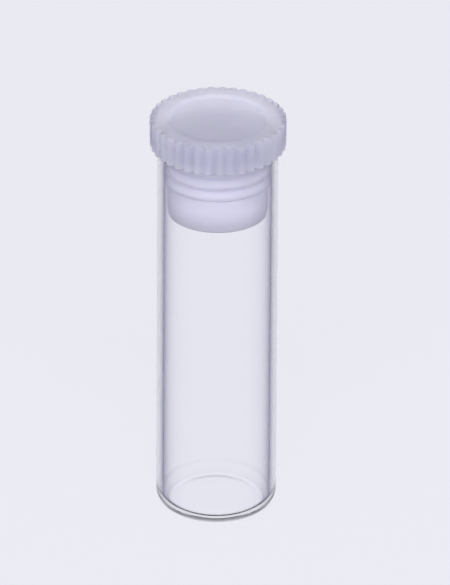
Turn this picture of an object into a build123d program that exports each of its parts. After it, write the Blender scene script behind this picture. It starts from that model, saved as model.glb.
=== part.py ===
# Glass sample vial with a push-in plug stopper, in millimetres.
# The origin is the centre of the base where the vial rests, and +Z runs up its axis.
import os

from build123d import *

# Glass vial
VIAL_DIAMETER = 21.0
VIAL_HEIGHT = 70.0
WALL = 1.2
HEEL_RADIUS = 2.4
REST_RING_WIDTH = 0.8
REST_RING_BLEND = 4.0
PUSH_UP = 0.5
FLOOR_THICKNESS = 1.3
FLOOR_CORNER_RADIUS = 1.6
LIP_FLAT = 0.2

# Stopper head
HEAD_OVERHANG = 1.4
HEAD_HEIGHT = 5.25
HEAD_DRAFT = 0.1
HEAD_TOP_ROUND = 0.4
GROOVE_COUNT = 37
GROOVE_DEPTH = 0.8
GROOVE_WIDTH = 1.4
GROOVE_ROOT_ROUND = 0.15
RIM_WIDTH = 2.5
RIM_INNER_ROUND = 0.25
RECESS_DEPTH = 0.7
RECESS_DRAFT = 0.2
RECESS_ROUND = 0.3
WEB_THICKNESS = 1.4

# Stopper plug
PLUG_LENGTH = 13.0
PLUG_GAP = 0.55
PLUG_WALL = 1.2
PLUG_TIP_ROUND = 1.0
HOLLOW_DRAFT = 0.2
HOLLOW_ROUND = 1.0
RING_COUNT = 3
FIRST_RING_DEPTH = 1.05
RING_PITCH = 2.25
RING_HEIGHT = 1.9

# Clearances of the stopper in the vial
RING_CLEARANCE = 0.04
SEAT_CLEARANCE = 0.02

# Vial sizes that follow from those above
vial_radius = VIAL_DIAMETER / 2
bore_radius = vial_radius - WALL
rest_outer_radius = vial_radius - HEEL_RADIUS
rest_inner_radius = rest_outer_radius - REST_RING_WIDTH
floor_top = FLOOR_THICKNESS + PUSH_UP
underside_dome_radius = (rest_inner_radius**2 + PUSH_UP**2) / (2 * PUSH_UP)
floor_dome_radius = (bore_radius**2 + PUSH_UP**2) / (2 * PUSH_UP)
lip_round = (WALL - LIP_FLAT) / 2

# Stopper sizes that follow from those above
head_radius = vial_radius + HEAD_OVERHANG
recess_radius = head_radius - GROOVE_DEPTH - RIM_WIDTH
head_bottom = VIAL_HEIGHT + SEAT_CLEARANCE
head_top = head_bottom + HEAD_HEIGHT
recess_floor = head_top - RECESS_DEPTH
hollow_top = recess_floor - WEB_THICKNESS
plug_bottom = head_bottom - PLUG_LENGTH
plug_radius = bore_radius - PLUG_GAP
hollow_radius = plug_radius - PLUG_WALL
ring_rise = PLUG_GAP - RING_CLEARANCE
ring_arc_radius = ((RING_HEIGHT / 2) ** 2 + ring_rise**2) / (2 * ring_rise)
ring_heights = [head_bottom - FIRST_RING_DEPTH - RING_PITCH * ring for ring in range(RING_COUNT)]

os.makedirs("parts", exist_ok=True)


def round_corners(section, *corners):
    """Round corners of a half section, each given as its radius, its height and its rounding."""
    for corner_radius, corner_height, rounding in corners:
        corner = section.vertices().sort_by_distance((corner_radius, corner_height))[0]
        fillet(corner, radius=rounding)


# The vial: one piece of drawn glass tube, with a flame-formed base and a fire-polished lip
with BuildPart() as glass_vial:
    with BuildSketch(Plane.XZ) as vial_section:
        # Half section of the wall and the pushed-up base
        with BuildLine():
            RadiusArc((0, PUSH_UP), (rest_inner_radius, 0), underside_dome_radius)
            Polyline(
                (rest_inner_radius, 0),
                (vial_radius, 0),
                (vial_radius, VIAL_HEIGHT),
                (bore_radius, VIAL_HEIGHT),
                (bore_radius, FLOOR_THICKNESS),
            )
            RadiusArc((bore_radius, FLOOR_THICKNESS), (0, floor_top), -floor_dome_radius)
            Line((0, floor_top), (0, PUSH_UP))
        make_face()
        # The flame leaves every corner round
        round_corners(
            vial_section,
            (rest_inner_radius, 0, REST_RING_BLEND),
            (vial_radius, 0, HEEL_RADIUS),
            (bore_radius, FLOOR_THICKNESS, FLOOR_CORNER_RADIUS),
            (vial_radius, VIAL_HEIGHT, lip_round),
            (bore_radius, VIAL_HEIGHT, lip_round),
        )
    revolve(axis=Axis.Z)
glass_vial.part.label = "glass_vial"
export_step(glass_vial.part, "parts/glass_vial.step")

# The stopper: one moulding, with a dished and serrated head over a hollow plug with sealing rings
with BuildPart() as stopper:
    with BuildSketch(Plane.XZ) as stopper_section:
        # Half section of the head and the plug
        with BuildLine():
            Polyline(
                (0, recess_floor),
                (recess_radius - RECESS_DRAFT, recess_floor),
                (recess_radius, head_top),
                (head_radius, head_top),
                (head_radius - HEAD_DRAFT, head_bottom),
                (plug_radius, head_bottom),
                (plug_radius, plug_bottom),
                (hollow_radius, plug_bottom),
                (hollow_radius - HOLLOW_DRAFT, hollow_top),
                (0, hollow_top),
                close=True,
            )
        make_face()
        round_corners(
            stopper_section,
            (recess_radius - RECESS_DRAFT, recess_floor, RECESS_ROUND),
            (recess_radius, head_top, RIM_INNER_ROUND),
            (head_radius, head_top, HEAD_TOP_ROUND),
            (plug_radius, plug_bottom, PLUG_TIP_ROUND),
            (hollow_radius - HOLLOW_DRAFT, hollow_top, HOLLOW_ROUND),
        )
        # Sealing rings, which swell out of the plug towards the bore
        for height in ring_heights:
            ring_top = (plug_radius, height + RING_HEIGHT / 2)
            ring_bottom = (plug_radius, height - RING_HEIGHT / 2)
            with BuildLine():
                RadiusArc(ring_top, ring_bottom, ring_arc_radius)
                Line(ring_bottom, ring_top)
            make_face()
    revolve(axis=Axis.Z)
    # Serrations: grooves down the whole side of the head
    with BuildSketch(Plane.XY.offset(head_bottom)) as serrations:
        with PolarLocations(head_radius, GROOVE_COUNT):
            Polygon(
                (-GROOVE_DEPTH, 0),
                (GROOVE_DEPTH, -GROOVE_WIDTH),
                (GROOVE_DEPTH, GROOVE_WIDTH),
                align=None,
            )
        groove_roots = serrations.vertices().group_by(SortBy.DISTANCE)[0]
        fillet(groove_roots, radius=GROOVE_ROOT_ROUND)
    extrude(amount=HEAD_HEIGHT, mode=Mode.SUBTRACT)
stopper.part.label = "stopper"
export_step(stopper.part, "parts/stopper.step")
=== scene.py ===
"""Glass sample vial with a push-in plug stopper: its looks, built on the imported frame.

Everything is in metres in the frame's own axes, with +Z up the vial and the origin at its base.
"""

import logging
import math
from collections.abc import Sequence
from dataclasses import dataclass, field
from enum import Enum

import bmesh
import bpy
from mathutils import Euler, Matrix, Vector


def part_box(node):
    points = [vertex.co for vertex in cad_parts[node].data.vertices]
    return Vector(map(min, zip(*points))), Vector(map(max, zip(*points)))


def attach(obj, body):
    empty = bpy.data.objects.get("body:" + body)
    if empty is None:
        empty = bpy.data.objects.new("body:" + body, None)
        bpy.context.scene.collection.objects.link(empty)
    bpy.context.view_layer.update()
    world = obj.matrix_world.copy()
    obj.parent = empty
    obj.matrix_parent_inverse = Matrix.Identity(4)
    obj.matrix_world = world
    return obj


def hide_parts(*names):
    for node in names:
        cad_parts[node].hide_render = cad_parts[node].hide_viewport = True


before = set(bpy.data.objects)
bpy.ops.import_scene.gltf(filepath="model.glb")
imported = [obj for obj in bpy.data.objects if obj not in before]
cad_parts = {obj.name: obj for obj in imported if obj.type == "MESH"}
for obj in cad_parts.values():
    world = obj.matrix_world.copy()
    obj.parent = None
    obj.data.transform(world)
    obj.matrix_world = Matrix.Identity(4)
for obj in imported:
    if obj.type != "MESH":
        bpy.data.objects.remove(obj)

log = logging.getLogger("vial")

Socket = bpy.types.NodeSocket
Colour = tuple[float, float, float, float]
Point = tuple[float, float]
Span = tuple[float, float]

MM = 0.001
FULL_TURN = 2 * math.pi
WHITE: Colour = (1.0, 1.0, 1.0, 1.0)

# Points that are nearer to each other, or to the axis, than this count as one with it
MERGE_DISTANCE = 1e-7
# Decimals that the points of an arc keep
POINT_DECIMALS = 8
# Weight at which each face counts for its area in the even normals, neither more nor less
EVEN_WEIGHT = 50
# Blend at which a layer weight's Facing is one less the cosine of the angle of view
COSINE_BLEND = 0.5


class Slot(Enum):
    """Material slots of the record."""

    GLASS = "glass"
    POLYETHYLENE = "polyethylene"


class Body(Enum):
    """Moving bodies of the record."""

    VIAL = "vial"
    STOPPER = "plug_stopper"


class Ease(Enum):
    """How a value goes from one end to the other, by Blender's names."""

    SMOOTH = "SMOOTHSTEP"
    EVEN = "LINEAR"


class Mixed(Enum):
    """What a mix node mixes, by Blender's names."""

    COLOURS = "RGBA"
    VECTORS = "VECTOR"


@dataclass(frozen=True)
class Corner:
    """One corner of a half section, rounded by the given radius."""

    radius: float
    height: float
    rounding: float = 0.0
    segments: int = 8


def arc_points(start: Point, end: Point, rise: float, count: int) -> list[Corner]:
    """Points of a shallow arc that swells to the left of the way from start to end.

    Args:
        start: Radius and height of the arc's first point.
        end: Radius and height of its last point.
        rise: How far the arc's middle stands off the straight line.
        count: Number of steps along the arc.

    Returns:
        The arc's points, both ends included.
    """
    along = Vector(end) - Vector(start)
    chord = along.length
    side = Vector((-along.y, along.x)) / chord
    curve_radius = (chord**2 / 4 + rise**2) / (2 * rise)
    half_angle = math.asin(min(1.0, chord / 2 / curve_radius))
    middle = Vector(start) + along / 2 + side * (rise - curve_radius)
    points = []
    for step in range(count + 1):
        angle = half_angle * (2 * step / count - 1)
        point = middle + curve_radius * (side * math.cos(angle) + along / chord * math.sin(angle))
        points.append(Corner(round(point.x, POINT_DECIMALS), round(point.y, POINT_DECIMALS)))
    return points


def turned_mesh(name: str, outline: Sequence[Corner], steps: int) -> bmesh.types.BMesh:
    """Turn a closed half section round the Z axis.

    Args:
        name: Name used in the log.
        outline: Corners of the section, from its upper end on the axis to its lower one.
        steps: Number of steps in the full turn.

    Returns:
        A closed bmesh with outward normals.
    """
    mesh = bmesh.new()
    corners = [mesh.verts.new((corner.radius, 0.0, corner.height)) for corner in outline]
    mesh.faces.new(corners)
    for vertex, corner in zip(corners, outline):
        if corner.rounding > 0:
            bmesh.ops.bevel(
                mesh,
                geom=[vertex],
                offset=corner.rounding,
                offset_type="OFFSET",
                segments=corner.segments,
                profile=0.5,
                affect="VERTICES",
                material=-1,
            )
    # Only the section's outline is spun, without its edges on the axis
    section = max(mesh.faces, key=lambda face: face.calc_area())
    bmesh.ops.delete(mesh, geom=[section], context="FACES_ONLY")
    on_axis = [
        edge for edge in mesh.edges if all(vert.co.x < MERGE_DISTANCE for vert in edge.verts)
    ]
    bmesh.ops.delete(mesh, geom=on_axis, context="EDGES")
    bmesh.ops.spin(
        mesh,
        geom=mesh.verts[:] + mesh.edges[:],
        cent=(0, 0, 0),
        axis=(0, 0, 1),
        angle=FULL_TURN,
        steps=steps,
        use_merge=True,
    )
    bmesh.ops.remove_doubles(mesh, verts=mesh.verts, dist=MERGE_DISTANCE)
    bmesh.ops.recalc_face_normals(mesh, faces=mesh.faces)
    log.info("%s turned: %d faces", name, len(mesh.faces))
    return mesh


def linked_object(name: str, data: bpy.types.ID) -> bpy.types.Object:
    """Make an object of its data and link it to the scene.

    Args:
        name: Name of the object.
        data: A mesh, a light or a camera.

    Returns:
        The linked object.
    """
    made = bpy.data.objects.new(name, data)
    bpy.context.scene.collection.objects.link(made)
    return made


def finished_object(name: str, mesh: bmesh.types.BMesh, sharp_angle: float) -> bpy.types.Object:
    """Make a shaded object of a bmesh.

    Args:
        name: Name of the piece.
        mesh: The bmesh, freed here.
        sharp_angle: Angle in degrees past which an edge stays sharp.

    Returns:
        The linked object.
    """
    limit = math.radians(sharp_angle)
    for face in mesh.faces:
        face.smooth = True
    for edge in mesh.edges:
        edge.smooth = edge.calc_face_angle(0.0) < limit
    data = bpy.data.meshes.new(name)
    mesh.to_mesh(data)
    mesh.free()
    piece = linked_object(name, data)
    evened = piece.modifiers.new("even_normals", "WEIGHTED_NORMAL")
    evened.mode = "FACE_AREA"
    evened.weight = EVEN_WEIGHT
    evened.keep_sharp = True
    return piece


@dataclass(frozen=True)
class Noise:
    """Sizes of a noise pattern: its waves to a metre, its finer layers and how much they show."""

    scale: float
    detail: float
    roughness: float


class Nodes:
    """A short way to add nodes to a material or a world and join them."""

    def __init__(self, tree: bpy.types.NodeTree) -> None:
        """Empty the tree and keep it.

        Args:
            tree: Node tree of a material or a world.
        """
        self.tree = tree
        tree.nodes.clear()

    def feed(self, target: Socket, value: object) -> None:
        """Give an input its value, or join it to the output that its value comes from.

        Args:
            target: The input.
            value: A number, colour or vector, or an output.
        """
        if isinstance(value, Socket):
            self.tree.links.new(value, target)
        else:
            target.default_value = value

    def add(self, kind: str, **values: object) -> bpy.types.Node:
        """Add a node and set its inputs and properties.

        Args:
            kind: Blender's name of the node type.
            **values: Inputs or properties by name, with an underscore for each space.

        Returns:
            The new node.
        """
        node = self.tree.nodes.new(kind)
        for key, value in values.items():
            socket = node.inputs.get(key.replace("_", " "))
            if socket is None:
                setattr(node, key, value)
            else:
                self.feed(socket, value)
        return node

    def math(self, operation: str, *terms: float | Socket) -> Socket:
        """Add a math node.

        Args:
            operation: Blender's name of the operation.
            *terms: Its terms, each a number or an output.

        Returns:
            The result's output.
        """
        node = self.add("ShaderNodeMath", operation=operation)
        for term, socket in zip(terms, node.inputs):
            self.feed(socket, term)
        return node.outputs["Value"]

    def between(self, share: Socket, start: float, end: float) -> Socket:
        """Go from start, at a share of 0, to end, at a share of 1."""
        return self.math("MULTIPLY_ADD", share, end - start, start)

    def ramp(self, value: Socket, span: Span, ends: Span, ease: Ease = Ease.SMOOTH) -> Socket:
        """Turn a value into one that goes from one end to the other and stays there.

        Args:
            value: The value's output.
            span: The values where the way starts and ends.
            ends: The results before and after it.
            ease: How the result goes from one to the other.

        Returns:
            The result's output.
        """
        node = self.add(
            "ShaderNodeMapRange",
            interpolation_type=ease.value,
            Value=value,
            From_Min=span[0],
            From_Max=span[1],
            To_Min=ends[0],
            To_Max=ends[1],
        )
        return node.outputs["Result"]

    def mix(self, kind: Mixed, share: Socket, first: object, second: object) -> Socket:
        """Mix two colours or two vectors.

        Args:
            kind: Which of the two they are.
            share: The share of the second.
            first: The first, or its output.
            second: The second, or its output.

        Returns:
            The result's output.
        """
        node = self.add("ShaderNodeMix", data_type=kind.value, Factor=share, A=first, B=second)
        return node.outputs["Result"]

    def mix_shaders(self, share: Socket, first: Socket, second: Socket) -> Socket:
        """Mix two shaders.

        Args:
            share: The share of the second.
            first: The first shader.
            second: The second shader.

        Returns:
            The mixed shader.
        """
        node = self.add("ShaderNodeMixShader", Fac=share)
        self.feed(node.inputs[1], first)
        self.feed(node.inputs[2], second)
        return node.outputs["Shader"]

    def scaled(self, colour: Colour | Socket, factor: Socket) -> Socket:
        """Darken or lighten a colour.

        Args:
            colour: The colour or its output.
            factor: The factor's output.

        Returns:
            The result's output.
        """
        node = self.add("ShaderNodeVectorMath", operation="SCALE", Scale=factor)
        self.feed(node.inputs[0], colour[:3] if isinstance(colour, tuple) else colour)
        return node.outputs["Vector"]

    def noise(self, place: Socket, noise: Noise) -> Socket:
        """Add a noise pattern.

        Args:
            place: Where each point of the surface is in the pattern.
            noise: Sizes of the pattern.

        Returns:
            The pattern's height.
        """
        node = self.add(
            "ShaderNodeTexNoise",
            Vector=place,
            Scale=noise.scale,
            Detail=noise.detail,
            Roughness=noise.roughness,
        )
        return node.outputs["Fac"]

    def place(self) -> Socket:
        """Place of the surface in the piece's own axes."""
        return self.add("ShaderNodeTexCoord").outputs["Object"]

    def height(self, place: Socket) -> Socket:
        """Height of a place."""
        return self.add("ShaderNodeSeparateXYZ", Vector=place).outputs["Z"]

    def flat(self, place: Socket) -> Socket:
        """Place without its height, which is the way to it from the vial's axis.

        Args:
            place: The place.

        Returns:
            The place at a height of 0.
        """
        node = self.add("ShaderNodeVectorMath", operation="MULTIPLY", Vector=place)
        node.inputs[1].default_value = (1.0, 1.0, 0.0)
        return node.outputs["Vector"]

    def radius(self, place: Socket) -> Socket:
        """Distance of a place from the vial's axis."""
        flat = self.flat(place)
        return self.add("ShaderNodeVectorMath", operation="LENGTH", Vector=flat).outputs["Value"]

    def unit(self, vector: Socket) -> Socket:
        """Vector of the same direction and a length of 1."""
        node = self.add("ShaderNodeVectorMath", operation="NORMALIZE", Vector=vector)
        return node.outputs["Vector"]


def new_material(name: str) -> tuple[bpy.types.Material, Nodes]:
    """Start a material.

    Args:
        name: Name of the material.

    Returns:
        The material, and its nodes, with none in it yet.
    """
    made = bpy.data.materials.new(name)
    made.use_nodes = True
    return made, Nodes(made.node_tree)


@dataclass(frozen=True)
class ClearGlass:
    """Drawn clear glass, with faint draw lines and a painted dark reflection that shows only from
    inside it.

    The painted dark reflection draws the dark lines that such glass shows where it mirrors dark
    surroundings, along its bore, round its heel and round its lip. Its strengths are shares of the
    surface, and its widths are on Facing's scale.
    """

    ior: float = 1.5
    colour: Colour = (0.994, 0.996, 1.0, 1.0)

    # The painted dark reflection: its colours, its strength and where it lies
    painted_dark_colour: Colour = (0.05, 0.045, 0.21, 1.0)
    painted_heel_colour: Colour = (0.05, 0.05, 0.07, 1.0)
    even_painted_dark: float = 0.035
    edge_painted_dark: float = 0.74
    painted_heel_share: float = 1.95
    painted_lip_share: float = 0.8
    inner_width: float = 0.038
    outer_width: float = 0.031
    lip_from: Span = (68.6 * MM, 69.4 * MM)
    heel_from: Span = (7.0 * MM, 8.2 * MM)
    painted_bore_from: Span = (2.0 * MM, 3.4 * MM)
    wall_middle: float = 9.9 * MM

    # Draw lines up the glass, and the slight haze along them
    lines: Noise = Noise(scale=900.0, detail=3.0, roughness=0.6)
    line_stretch: float = 0.02
    line_strength: float = 0.02
    line_depth: float = 0.05 * MM
    haze_from: Span = (0.45, 0.75)
    haze: Span = (0.0, 0.015)

    # What the glass leaves of a lamp's light
    shadow_tint: Colour = (0.97, 0.97, 0.98, 1.0)

    def painted_dark_share(self, nodes: Nodes, place: Socket, above: Socket) -> Socket:
        """Work out how much painted dark reflection shows: most where the glass starts to mirror
        its bore.

        Args:
            nodes: The material's nodes.
            place: Place of the surface.
            above: 0 in the heel and 1 above it.

        Returns:
            The painted dark reflection's share of the surface.
        """
        mirror_from = 1.0 - math.sqrt(1.0 - 1.0 / self.ior**2)
        facing = nodes.add("ShaderNodeLayerWeight", Blend=COSINE_BLEND).outputs["Facing"]
        past = nodes.math("SUBTRACT", facing, mirror_from)
        outward = nodes.math("DIVIDE", past, self.outer_width)
        inward = nodes.math("DIVIDE", past, -self.inner_width)
        edge = nodes.math("POWER", math.exp(-1.0), nodes.math("MAXIMUM", outward, inward))
        radius = nodes.radius(place)
        height = nodes.height(place)
        in_bore = nodes.math("MULTIPLY", nodes.math("LESS_THAN", radius, self.wall_middle), above)
        # Painted dark reflection and shade round the heel, as dark arcs
        heel = nodes.ramp(height, self.painted_bore_from, (self.painted_heel_share, 0.0))
        heel = nodes.math("MULTIPLY", heel, nodes.ramp(radius, self.heel_from, (0.0, 1.0)))
        # Painted dark reflection round the lip
        lip = nodes.ramp(height, self.lip_from, (0.0, self.painted_lip_share))
        parts = nodes.math("ADD", in_bore, nodes.math("ADD", heel, lip))
        share = nodes.math("MULTIPLY", nodes.math("MULTIPLY", edge, self.edge_painted_dark), parts)
        even = nodes.math("MULTIPLY", nodes.math("LESS_THAN", past, 0.0), self.even_painted_dark)
        share = nodes.math("MULTIPLY_ADD", in_bore, even, share)
        from_inside = nodes.add("ShaderNodeNewGeometry").outputs["Backfacing"]
        return nodes.math("MULTIPLY", share, from_inside)

    def material(self) -> bpy.types.Material:
        """Build the material.

        Returns:
            The glass material.
        """
        made, nodes = new_material("clear_glass")
        place = nodes.place()
        stretch = (1.0, 1.0, self.line_stretch)
        stretched = nodes.add("ShaderNodeMapping", Vector=place, Scale=stretch)
        lines = nodes.noise(stretched.outputs["Vector"], self.lines)
        bump = nodes.add(
            "ShaderNodeBump", Strength=self.line_strength, Distance=self.line_depth, Height=lines
        )
        glass = nodes.add(
            "ShaderNodeBsdfPrincipled",
            Base_Color=self.colour,
            Roughness=nodes.ramp(lines, self.haze_from, self.haze, Ease.EVEN),
            IOR=self.ior,
            Normal=bump.outputs["Normal"],
            Transmission_Weight=1.0,
        )
        above = nodes.ramp(nodes.height(place), self.painted_bore_from, (0.0, 1.0))
        tint = nodes.mix(Mixed.COLOURS, above, self.painted_heel_colour, self.painted_dark_colour)
        # Painted dark reflection: a dark matt shader stands in for the dark surroundings that the
        # glass mirrors
        painted_dark = nodes.add("ShaderNodeBsdfDiffuse", Color=tint)
        share = self.painted_dark_share(nodes, place, above)
        glass_with_painted_dark = nodes.mix_shaders(share, glass.outputs["BSDF"], painted_dark.outputs["BSDF"])
        # Lamps shine straight through, so that the plug is lit inside the bore
        to_lamp = nodes.add("ShaderNodeLightPath").outputs["Is Shadow Ray"]
        open_way = nodes.add("ShaderNodeBsdfTransparent", Color=self.shadow_tint)
        lit_through = nodes.mix_shaders(to_lamp, glass_with_painted_dark, open_way.outputs["BSDF"])
        nodes.add("ShaderNodeOutputMaterial", Surface=lit_through)
        return made


@dataclass(frozen=True)
class Polyethylene:
    """Translucent polyethylene, part cloudy and part see-through, thick in the head."""

    # Cloudy part: its colours, and how far light spreads in it
    head: Colour = (0.765, 0.76, 0.955, 1.0)
    plug: Colour = (0.70, 0.69, 0.81, 1.0)
    head_from: Span = (68.6 * MM, 70.6 * MM)
    ior: float = 1.5
    scatter: tuple[float, float, float] = (1.0, 1.0, 1.0)
    head_scatter: float = 5.0 * MM
    plug_scatter: float = 2.0 * MM

    # See-through part: its share of the plug, the head and the serrations, and its tint
    plug_through: float = 0.22
    head_through: float = 0.50
    teeth_through: float = 0.69
    teeth_clear: float = 1.05
    teeth_from: Span = (10.4 * MM, 11.2 * MM)
    through_tint: Colour = (0.825, 0.822, 0.928, 1.0)
    through_ior: float = 1.22
    through_blur: float = 0.6

    # Clouds all through it, and a darker tip of the plug
    clouds: Noise = Noise(scale=180.0, detail=4.0, roughness=0.55)
    cloud_depth: float = 0.10
    tip_from: Span = (57.5 * MM, 61.5 * MM)
    tip_shade: float = 0.74

    # Satin surface: its roughness with the clouds, its grain, and its soft serrations
    satin: Span = (0.54, 0.68)
    grain: Noise = Noise(scale=4200.0, detail=2.0, roughness=0.5)
    grain_strength: float = 0.12
    grain_depth: float = 0.02 * MM
    side_from: float = 10.6 * MM
    side_tilt: float = 0.5
    side_softness: float = 0.95

    def shade(self, nodes: Nodes, place: Socket, cloud: Socket) -> Socket:
        """Work out how much the plastic darkens: in its clouds, and at the plug's tip.

        Args:
            nodes: The material's nodes.
            place: Place of the surface.
            cloud: The clouds' pattern.

        Returns:
            A factor on the colour.
        """
        clearest = 1.0 + self.cloud_depth / 2
        clouded = nodes.math("MULTIPLY_ADD", cloud, -self.cloud_depth, clearest)
        tip = nodes.ramp(nodes.height(place), self.tip_from, (self.tip_shade, 1.0))
        return nodes.math("MULTIPLY", clouded, tip)

    def soft_side(self, nodes: Nodes, place: Socket) -> Socket:
        """Soften the shading of the serrations, whose light spreads inside the thick head.

        Args:
            nodes: The material's nodes.
            place: Place of the surface.

        Returns:
            The softened normal.
        """
        surface = nodes.add("ShaderNodeNewGeometry")
        outward = nodes.add(
            "ShaderNodeVectorTransform",
            vector_type="NORMAL",
            convert_from="OBJECT",
            convert_to="WORLD",
            Vector=nodes.unit(nodes.flat(place)),
        )
        tilt = nodes.math("ABSOLUTE", nodes.height(surface.outputs["Normal"]))
        upright = nodes.math("LESS_THAN", tilt, self.side_tilt)
        outer = nodes.math("GREATER_THAN", nodes.radius(place), self.side_from)
        share = nodes.math("MULTIPLY", nodes.math("MULTIPLY", upright, outer), self.side_softness)
        from_outside = nodes.math("SUBTRACT", 1.0, surface.outputs["Backfacing"])
        share = nodes.math("MULTIPLY", share, from_outside)
        normal, even = surface.outputs["Normal"], outward.outputs["Vector"]
        return nodes.unit(nodes.mix(Mixed.VECTORS, share, normal, even))

    def through_share(self, nodes: Nodes, thick: Socket, radius: Socket) -> Socket:
        """Work out the see-through part's share: least in the plug, and all of an inner face.

        Args:
            nodes: The material's nodes.
            thick: 0 in the plug and 1 in the head.
            radius: Distance from the vial's axis.

        Returns:
            The share of the surface.
        """
        share = nodes.between(thick, self.plug_through, self.head_through)
        more = (0.0, self.teeth_through - self.head_through)
        share = nodes.math("ADD", share, nodes.ramp(radius, self.teeth_from, more))
        from_inside = nodes.add("ShaderNodeNewGeometry").outputs["Backfacing"]
        return nodes.math("MAXIMUM", share, from_inside)

    def material(self) -> bpy.types.Material:
        """Build the material.

        Returns:
            The polyethylene material.
        """
        made, nodes = new_material("polyethylene")
        place = nodes.place()
        radius = nodes.radius(place)
        cloud = nodes.noise(place, self.clouds)
        shade = self.shade(nodes, place, cloud)
        thick = nodes.ramp(nodes.height(place), self.head_from, (0.0, 1.0))
        bump = nodes.add(
            "ShaderNodeBump",
            Strength=self.grain_strength,
            Distance=self.grain_depth,
            Height=nodes.noise(place, self.grain),
            Normal=self.soft_side(nodes, place),
        )
        body_colour = nodes.mix(Mixed.COLOURS, thick, self.plug, self.head)
        body = nodes.add(
            "ShaderNodeBsdfPrincipled",
            subsurface_method="RANDOM_WALK",
            Base_Color=nodes.scaled(body_colour, shade),
            Roughness=nodes.ramp(cloud, (0.0, 1.0), self.satin, Ease.EVEN),
            IOR=self.ior,
            Normal=bump.outputs["Normal"],
            Subsurface_Weight=1.0,
            Subsurface_Radius=self.scatter,
            Subsurface_Scale=nodes.between(thick, self.plug_scatter, self.head_scatter),
        )
        clear = nodes.ramp(radius, self.teeth_from, (1.0, self.teeth_clear))
        through = nodes.add(
            "ShaderNodeBsdfPrincipled",
            Base_Color=nodes.scaled(self.through_tint, nodes.math("MULTIPLY", shade, clear)),
            Roughness=self.through_blur,
            IOR=self.through_ior,
            Normal=bump.outputs["Normal"],
            Transmission_Weight=1.0,
        )
        share = self.through_share(nodes, thick, radius)
        mixed = nodes.mix_shaders(share, body.outputs["BSDF"], through.outputs["BSDF"])
        nodes.add("ShaderNodeOutputMaterial", Surface=mixed)
        return made


@dataclass
class GlassVial:
    """The vial: drawn tube with a pushed-up base, a rounded heel and a fire-polished lip."""

    wall: float = 1.2 * MM
    heel_radius: float = 2.4 * MM
    rest_ring_width: float = 0.8 * MM
    push_up: float = 0.5 * MM
    floor_thickness: float = 1.3 * MM
    floor_corner: float = 1.6 * MM
    lip_flat: float = 0.2 * MM
    steps: int = 192
    dome_steps: int = 12
    sharp_angle: float = 40.0
    outer_radius: float = field(init=False)
    height: float = field(init=False)

    def __post_init__(self) -> None:
        """Read the vial's outer size from its node in the frame."""
        low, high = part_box("glass_vial")
        self.outer_radius = (high[0] - low[0]) / 2
        self.height = high[2]

    @property
    def bore_radius(self) -> float:
        """Radius of the bore."""
        return self.outer_radius - self.wall

    def outline(self) -> list[Corner]:
        """Half section of the glass.

        Returns:
            Corners from the middle of the floor out, over the lip and back along the underside.
        """
        rest_inner = self.outer_radius - self.heel_radius - self.rest_ring_width
        lip_round = (self.wall - self.lip_flat) / 2
        # Each dome bulges off the straight line by about a quarter of its height
        bulge = self.push_up / 4
        floor_middle = (0.0, self.floor_thickness + self.push_up)
        floor_end = (self.bore_radius, self.floor_thickness)
        floor = arc_points(floor_middle, floor_end, bulge, self.dome_steps)
        underside = arc_points((rest_inner, 0.0), (0.0, self.push_up), -bulge, self.dome_steps)
        return [
            *floor[:-1],
            Corner(*floor_end, self.floor_corner, segments=12),
            Corner(self.bore_radius, self.height, lip_round, segments=10),
            Corner(self.outer_radius, self.height, lip_round, segments=10),
            Corner(self.outer_radius, 0.0, self.heel_radius, segments=16),
            *underside,
        ]

    def build(self) -> bpy.types.Object:
        """Build the vial's mesh.

        Returns:
            The vial's object.
        """
        mesh = turned_mesh("glass_body", self.outline(), self.steps)
        return finished_object("glass_body", mesh, self.sharp_angle)

    def dress(self, piece: bpy.types.Object) -> None:
        """Give the vial its glass and its place in the frame.

        Args:
            piece: The vial's object.
        """
        piece.data.materials.append(ClearGlass().material())
        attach(piece, Body.VIAL.value)
        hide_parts("glass_vial")
        log.info("glass_body rides on %s", Body.VIAL.value)


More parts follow.
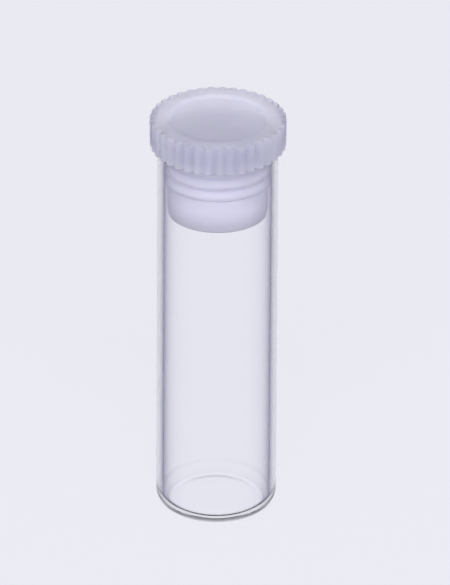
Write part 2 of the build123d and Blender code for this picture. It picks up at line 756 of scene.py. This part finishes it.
@dataclass
class PlugStopper:
    """The stopper: dished and serrated head over a hollow plug with sealing rings."""

    head_height: float = 5.25 * MM
    head_draft: float = 0.1 * MM
    head_top_round: float = 0.4 * MM
    head_bottom_round: float = 0.12 * MM
    groove_count: int = 37
    groove_depth: float = 0.8 * MM
    groove_width: float = 1.4 * MM
    rim_width: float = 2.5 * MM
    rim_inner_round: float = 0.25 * MM
    recess_depth: float = 0.7 * MM
    recess_draft: float = 0.2 * MM
    recess_round: float = 0.3 * MM
    web_thickness: float = 1.4 * MM
    plug_gap: float = 0.55 * MM
    plug_wall: float = 1.2 * MM
    plug_tip_round: float = 0.75 * MM
    lead_in: float = 0.4 * MM
    lead_in_height: float = 1.6 * MM
    lead_in_round: float = 1.0 * MM
    hollow_draft: float = 0.2 * MM
    hollow_round: float = 1.0 * MM
    hollow_mouth_round: float = 0.15 * MM
    ring_count: int = 3
    first_ring_depth: float = 1.05 * MM
    ring_pitch: float = 2.25 * MM
    ring_height: float = 1.9 * MM
    ring_clearance: float = 0.04 * MM
    ring_steps: int = 10
    bore_radius: float = 9.3 * MM
    steps_per_groove: int = 12
    sharp_angle: float = 50.0
    top: float = field(init=False)
    plug_bottom: float = field(init=False)
    head_radius: float = field(init=False)

    def __post_init__(self) -> None:
        """Read the stopper's place from its node in the frame."""
        low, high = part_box("stopper")
        self.top = high[2]
        self.plug_bottom = low[2]
        self.head_radius = -low[0]

    @property
    def head_bottom(self) -> float:
        """Height of the head's underside."""
        return self.top - self.head_height

    @property
    def plug_radius(self) -> float:
        """Radius of the plug between its rings."""
        return self.bore_radius - self.plug_gap

    def rings(self) -> list[Corner]:
        """Half section of the sealing rings.

        Returns:
            Their corners, from the top ring down.
        """
        corners = []
        for ring in range(self.ring_count):
            middle = self.head_bottom - self.first_ring_depth - self.ring_pitch * ring
            ring_top = (self.plug_radius, middle + self.ring_height / 2)
            ring_bottom = (self.plug_radius, middle - self.ring_height / 2)
            rise = self.plug_gap - self.ring_clearance
            corners += arc_points(ring_top, ring_bottom, rise, self.ring_steps)
        return corners

    def outline(self) -> list[Corner]:
        """Half section of the stopper.

        Returns:
            Corners from the middle of the recess out, down the head and plug, and up the hollow.
        """
        recess_radius = self.head_radius - self.groove_depth - self.rim_width
        recess_end = recess_radius - self.recess_draft
        recess_floor = self.top - self.recess_depth
        head_end = self.head_radius - self.head_draft
        lead_in_top = self.plug_bottom + self.lead_in_height
        tip_radius = self.plug_radius - self.lead_in
        hollow_radius = self.plug_radius - self.plug_wall
        hollow_end = hollow_radius - self.hollow_draft
        hollow_top = recess_floor - self.web_thickness
        return [
            Corner(0.0, recess_floor),
            Corner(recess_end, recess_floor, self.recess_round, segments=8),
            Corner(recess_radius, self.top, self.rim_inner_round, segments=6),
            Corner(self.head_radius, self.top, self.head_top_round, segments=6),
            Corner(head_end, self.head_bottom, self.head_bottom_round, segments=3),
            Corner(self.plug_radius, self.head_bottom),
            *self.rings(),
            Corner(self.plug_radius, lead_in_top, self.lead_in_round, segments=4),
            Corner(tip_radius, self.plug_bottom, self.plug_tip_round, segments=10),
            Corner(hollow_radius, self.plug_bottom, self.hollow_mouth_round, segments=3),
            Corner(hollow_end, hollow_top, self.hollow_round, segments=6),
            Corner(0.0, hollow_top),
        ]

    def groove(self, angle: float) -> float:
        """Depth of the serrations at an angle round the head.

        Args:
            angle: Angle from the +X axis, in radians.

        Returns:
            How far the side lies inside the head's full radius there.
        """
        turn = angle / FULL_TURN * self.groove_count
        from_root = abs(turn - round(turn)) * FULL_TURN / self.groove_count * self.head_radius
        share = max(0.0, 1.0 - from_root / (self.groove_width / 2))
        return self.groove_depth * share

    def serrate(self, mesh: bmesh.types.BMesh) -> None:
        """Draw the head's side in along the grooves, with its rounded edges.

        Args:
            mesh: The turned stopper.
        """
        # The rim gives way from here out, and nothing inside it moves
        core = self.head_radius - self.groove_depth - self.rim_width / 2
        for vertex in mesh.verts:
            radius = math.hypot(vertex.co.x, vertex.co.y)
            if radius <= core:
                continue
            depth = self.groove(math.atan2(vertex.co.y, vertex.co.x))
            drawn_in = (self.head_radius - depth - core) / (self.head_radius - core)
            scale = (core + (radius - core) * drawn_in) / radius
            vertex.co.x *= scale
            vertex.co.y *= scale

    def build(self) -> bpy.types.Object:
        """Build the stopper's mesh.

        Returns:
            The stopper's object.
        """
        steps = self.groove_count * self.steps_per_groove
        mesh = turned_mesh("stopper_body", self.outline(), steps)
        self.serrate(mesh)
        return finished_object("stopper_body", mesh, self.sharp_angle)

    def dress(self, piece: bpy.types.Object) -> None:
        """Give the stopper its plastic and its place in the frame.

        Args:
            piece: The stopper's object.
        """
        piece.data.materials.append(Polyethylene().material())
        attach(piece, Body.STOPPER.value)
        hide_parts("stopper")
        log.info("stopper_body rides on %s", Body.STOPPER.value)


def direction(azimuth: float, elevation: float) -> Vector:
    """Direction from the vial to something seen at the given angles.

    Args:
        azimuth: Degrees round from the front, towards +X.
        elevation: Degrees up from the floor.

    Returns:
        A unit vector.
    """
    turn, tilt = math.radians(azimuth), math.radians(elevation)
    flat = math.cos(tilt)
    return Vector((math.sin(turn) * flat, -math.cos(turn) * flat, math.sin(tilt)))


@dataclass(frozen=True)
class Panel:
    """A round soft panel of light that faces the foot of the vial."""

    name: str
    azimuth: float
    elevation: float
    distance: float
    size: float
    power: float

    def hang(self) -> None:
        """Hang the panel, at its angles from the front and from the floor."""
        towards = direction(self.azimuth, self.elevation)
        data = bpy.data.lights.new(self.name, "AREA")
        data.shape = "DISK"
        data.size = self.size
        data.energy = self.power
        lamp = linked_object(self.name, data)
        lamp.location = towards * self.distance
        lamp.rotation_mode = "QUATERNION"
        lamp.rotation_quaternion = (-towards).to_track_quat("-Z", "Y")
        # Its mirror image in the glass would be pure white, so it only sheds light
        lamp.visible_glossy = False
        lamp.visible_transmission = False
        log.info("%s hung", self.name)


@dataclass(frozen=True)
class Studio:
    """Pale paper floor and backdrop, soft light and the camera at the photograph's angle."""

    # The floor and the backdrop
    paper: Colour = (0.855, 0.855, 0.927, 1.0)
    plain_share: float = 0.85
    floor_size: float = 6.0

    # The light
    world_strength: float = 0.27
    sky_slope: float = 0.05
    panels: tuple[Panel, ...] = (
        Panel("front_panel", azimuth=-4.0, elevation=34.0, distance=2.0, size=2.0, power=43.0),
        Panel("overhead_panel", azimuth=0.0, elevation=88.0, distance=1.6, size=2.0, power=0.5),
    )

    # The camera: its angles in degrees, and its aim to the right of the vial's foot and above it
    azimuth: float = -4.0
    elevation: float = 28.12
    distance: float = 2.46
    roll: float = 0.344
    aim: Point = (1.371 * MM, 40.907 * MM)
    lens: float = 868.7
    sensor_width: float = 36.0
    sight: float = 20.0

    def seen(self, nodes: Nodes) -> Socket:
        """Tell where the backdrop itself is seen, directly, in a reflection or through glass.

        Args:
            nodes: Nodes of the floor or the world.

        Returns:
            1 where it is seen, and 0 where it only sheds light.
        """
        path = nodes.add("ShaderNodeLightPath")
        seen = nodes.math("MAXIMUM", path.outputs["Is Camera Ray"], path.outputs["Is Glossy Ray"])
        return nodes.math("MAXIMUM", seen, path.outputs["Is Transmission Ray"])

    def lay_floor(self) -> None:
        """Lay the paper floor, which keeps a little of its own light and shade where it is seen."""
        mesh = bmesh.new()
        bmesh.ops.create_grid(mesh, x_segments=1, y_segments=1, size=self.floor_size / 2)
        data = bpy.data.meshes.new("paper_floor")
        mesh.to_mesh(data)
        mesh.free()
        floor = linked_object("paper_floor", data)
        made, nodes = new_material("paper")
        matt = nodes.add("ShaderNodeBsdfDiffuse", Color=self.paper)
        plain = nodes.add("ShaderNodeEmission", Color=self.paper, Strength=1.0)
        share = nodes.math("MULTIPLY", self.seen(nodes), self.plain_share)
        surface = nodes.mix_shaders(share, matt.outputs["BSDF"], plain.outputs["Emission"])
        nodes.add("ShaderNodeOutputMaterial", Surface=surface)
        data.materials.append(made)

    def light(self) -> None:
        """Light the room with a white world, a little brighter overhead, and the soft panels."""
        world = bpy.data.worlds.new("studio")
        bpy.context.scene.world = world
        world.use_nodes = True
        nodes = Nodes(world.node_tree)
        upward = nodes.height(nodes.add("ShaderNodeTexCoord").outputs["Generated"])
        strength = nodes.math("MULTIPLY_ADD", upward, self.sky_slope, self.world_strength)
        glow = nodes.add("ShaderNodeBackground", Color=WHITE, Strength=strength)
        plain = nodes.add("ShaderNodeBackground", Color=self.paper, Strength=1.0)
        backgrounds = glow.outputs["Background"], plain.outputs["Background"]
        sky = nodes.mix_shaders(self.seen(nodes), *backgrounds)
        nodes.add("ShaderNodeOutputWorld", Surface=sky)
        for panel in self.panels:
            panel.hang()

    def place_camera(self) -> None:
        """Place the camera as it stood for the photograph."""
        data = bpy.data.cameras.new("camera")
        data.lens = self.lens
        data.sensor_width = self.sensor_width
        data.clip_end = self.sight
        camera = linked_object("camera", data)
        turn = math.radians(self.azimuth)
        sideways, height = self.aim
        right = Vector((math.cos(turn), math.sin(turn), 0.0))
        back = direction(self.azimuth, self.elevation)
        camera.location = right * sideways + Vector((0.0, 0.0, height)) + back * self.distance
        facing = (-back).to_track_quat("-Z", "Y")
        rolled = Euler((0.0, 0.0, math.radians(self.roll))).to_quaternion()
        camera.rotation_mode = "QUATERNION"
        camera.rotation_quaternion = facing @ rolled
        bpy.context.scene.camera = camera

    def set_up(self) -> None:
        """Set up the floor, the light, the camera and plain colours."""
        self.lay_floor()
        self.light()
        self.place_camera()
        bpy.context.scene.view_settings.view_transform = "Standard"


def main() -> None:
    """Build every piece in order."""
    logging.basicConfig(level=logging.INFO, format="%(name)s: %(message)s")
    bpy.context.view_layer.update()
    Studio().set_up()
    for part in (GlassVial(), PlugStopper()):
        piece = part.build()
        part.dress(piece)
        log.info("%s finished", piece.name)
    bpy.context.view_layer.update()


if __name__ == "__main__":
    main()
